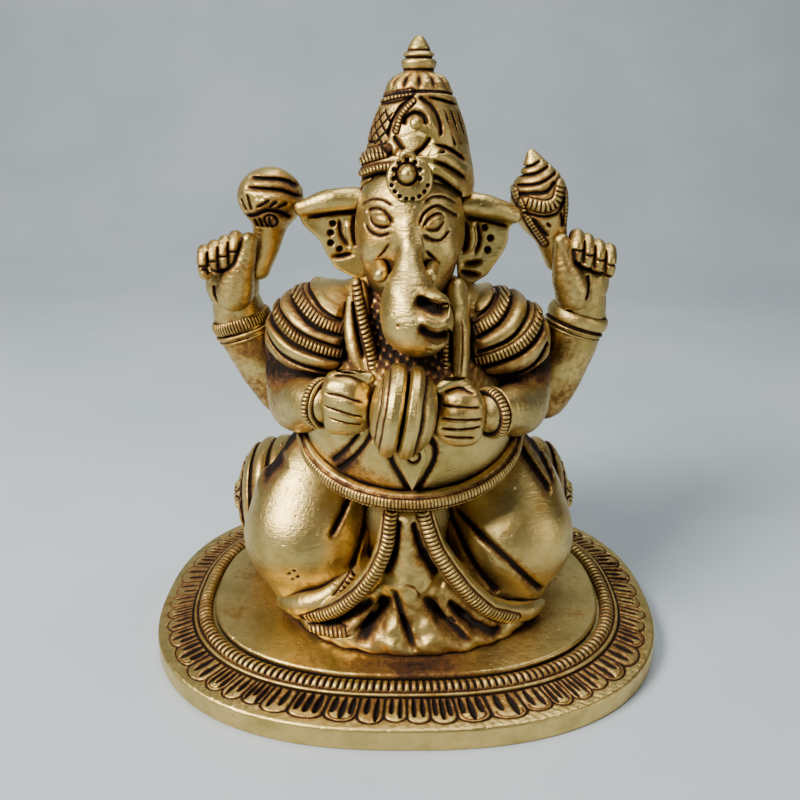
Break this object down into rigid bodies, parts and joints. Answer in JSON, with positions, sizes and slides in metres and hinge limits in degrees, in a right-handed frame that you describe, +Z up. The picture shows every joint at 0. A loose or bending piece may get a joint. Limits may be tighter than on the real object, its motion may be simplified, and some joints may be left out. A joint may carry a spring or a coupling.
{
  "type": "ganesha idol",
  "caption": "Seated elephant-headed deity in cast brass playing hand cymbals, with a tall crown, a bolster behind and an oval plinth with a lotus-petal border, for a home shrine.",
  "frame": {"origin": "centre of the plinth's flat underside", "axes": "+Z up along the figure's height, -Y towards the viewer in front of the figure, +X towards the figure's own left hand"},
  "size_m": [0.09, 0.072, 0.1],
  "materials": {
    "polished_brass": "hand-polished casting with light wear, pits and scratches",
    "antiqued_brass": "chased casting with dark patina in the grooves and rubbed highlights"
  },
  "bodies": {
    "root": {"base_plinth": "polished_brass", "rope_ring": "antiqued_brass", "seat_platform": "polished_brass", "torso": "polished_brass", "head": "polished_brass", "crown": "antiqued_brass", "crown_finial": "antiqued_brass", "crown_band": "antiqued_brass", "forehead_jewel": "polished_brass", "trunk": "polished_brass", "right_tusk": "polished_brass", "left_tusk": "polished_brass", "right_ear": "polished_brass", "left_ear": "polished_brass", "waist_belt": "antiqued_brass", "navel_pendant": "polished_brass", "right_leg": "polished_brass", "left_leg": "polished_brass", "dhoti_pleats": "antiqued_brass", "right_hem": "antiqued_brass", "left_hem": "antiqued_brass", "bolster": "antiqued_brass", "right_cymbal": "polished_brass", "left_cymbal": "polished_brass", "right_sash": "antiqued_brass", "left_sash": "antiqued_brass", "right_shawl": "antiqued_brass", "left_shawl": "antiqued_brass", "front_right_bracelet": "antiqued_brass", "front_left_bracelet": "antiqued_brass", "front_right_hand": "polished_brass", "front_left_hand": "polished_brass", "front_right_arm": "polished_brass", "front_left_arm": "polished_brass", "rear_right_bracelet": "antiqued_brass", "rear_left_bracelet": "antiqued_brass", "rear_right_arm": "polished_brass", "rear_left_arm": "polished_brass", "rear_right_hand": "polished_brass", "rear_left_hand": "polished_brass", "mace": "antiqued_brass", "conch": "antiqued_brass"}
  },
  "joints": []
}
